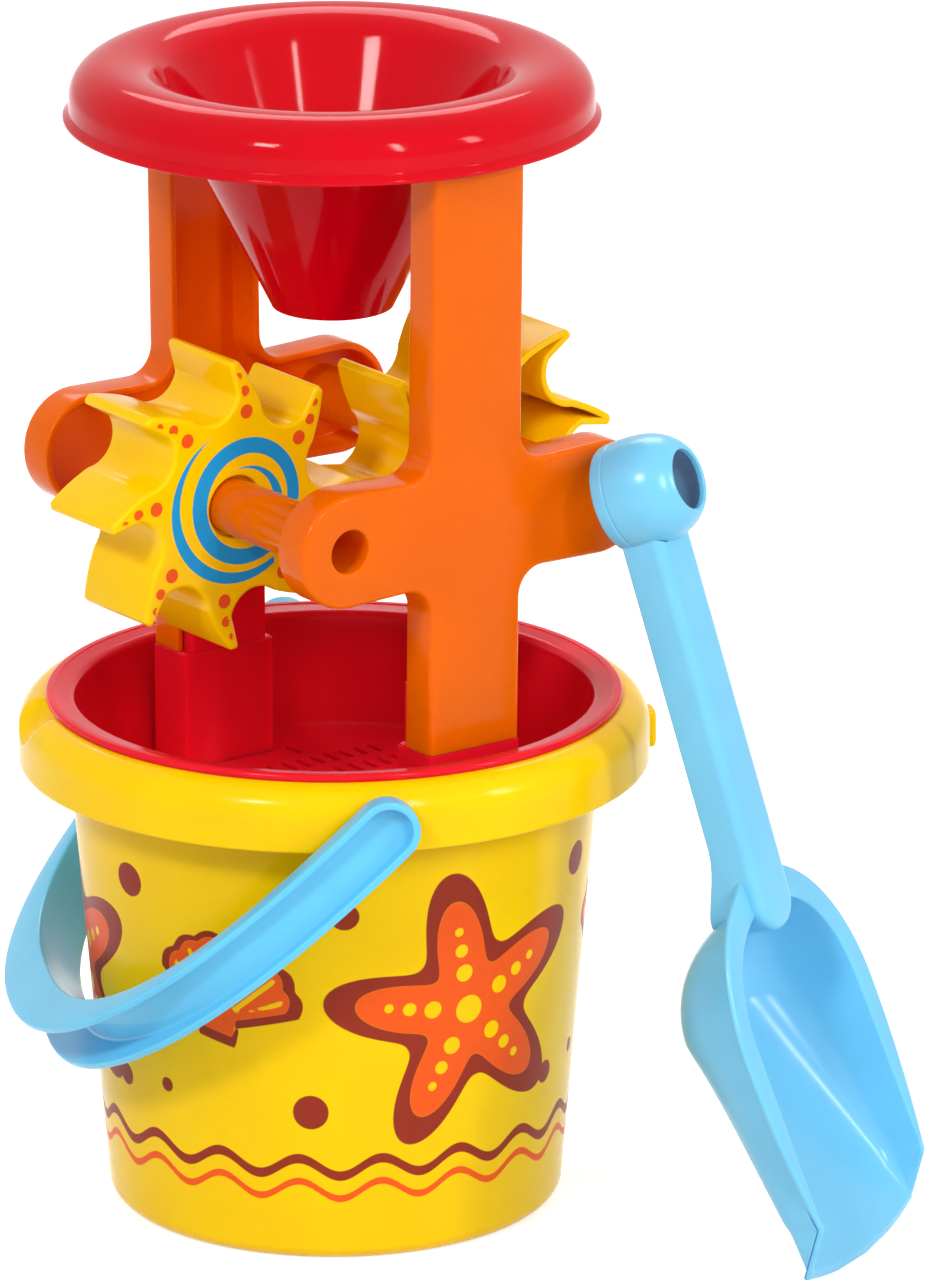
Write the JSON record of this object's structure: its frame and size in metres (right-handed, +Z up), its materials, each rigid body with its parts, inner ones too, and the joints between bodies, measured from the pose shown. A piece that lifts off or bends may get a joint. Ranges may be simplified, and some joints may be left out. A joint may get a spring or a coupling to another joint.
{
  "type": "sand wheel toy",
  "caption": "Sand wheel toy: yellow bucket with bail and sieve tray, orange mill frame with scoop wheels, funnel on top, and a shovel leaning on an arm.",
  "frame": {"origin": "centre of the bucket's base, on the ground", "axes": "+Z up the mill, the wheels side by side along X, the mill's printed wheel face and the shovel towards -Y"},
  "size_m": [0.2114, 0.2575, 0.3355],
  "materials": {
    "yellow_shell": "glossy moulded polypropylene",
    "blue_handle": "glossy moulded polypropylene",
    "red_tray": "glossy moulded polypropylene",
    "orange_frame": "glossy moulded polypropylene",
    "yellow_wheel": "glossy moulded polypropylene with a printed face",
    "red_funnel": "glossy moulded polypropylene",
    "blue_shovel": "glossy moulded polypropylene"
  },
  "bodies": {
    "bucket": {"bucket": "yellow_shell"},
    "handle": {"bucket_handle": "blue_handle"},
    "tray": {"sieve_tray": "red_tray"},
    "mill": {"front_frame": "orange_frame", "rear_frame": "orange_frame"},
    "left_wheel": {"left_wheel": "yellow_wheel"},
    "right_wheel": {"right_wheel": "yellow_wheel"},
    "funnel": {"funnel": "red_funnel"},
    "shovel": {"shovel": "blue_shovel"}
  },
  "joints": [
    {"name": "handle_swing", "type": "hinge", "parent": "bucket", "child": "handle", "pos_m": [0, 0, 0.1383], "axis": [0.4571, 0.8894, 0], "range_deg": [-1, 72]},
    {"name": "tray_lift", "type": "slide", "parent": "bucket", "child": "tray", "axis": [0, 0, 1], "range_m": [0, 0.04]},
    {"name": "mill_lift", "type": "slide", "parent": "tray", "child": "mill", "axis": [0, 0, 1], "range_m": [0, 0.03]},
    {"name": "left_wheel_spin", "type": "hinge", "parent": "mill", "child": "left_wheel", "pos_m": [-0.0437, 0, 0.2151], "axis": [0, 1, 0], "continuous": true},
    {"name": "right_wheel_spin", "type": "hinge", "parent": "mill", "child": "right_wheel", "pos_m": [0.0437, 0, 0.2151], "axis": [0, 1, 0], "continuous": true},
    {"name": "funnel_lift", "type": "slide", "parent": "mill", "child": "funnel", "axis": [0, 0, 1], "range_m": [0, 0.03]},
    {"name": "shovel_pull", "type": "slide", "parent": "bucket", "child": "shovel", "axis": [0, -1, 0], "range_m": [0, 0.15]}
  ]
}
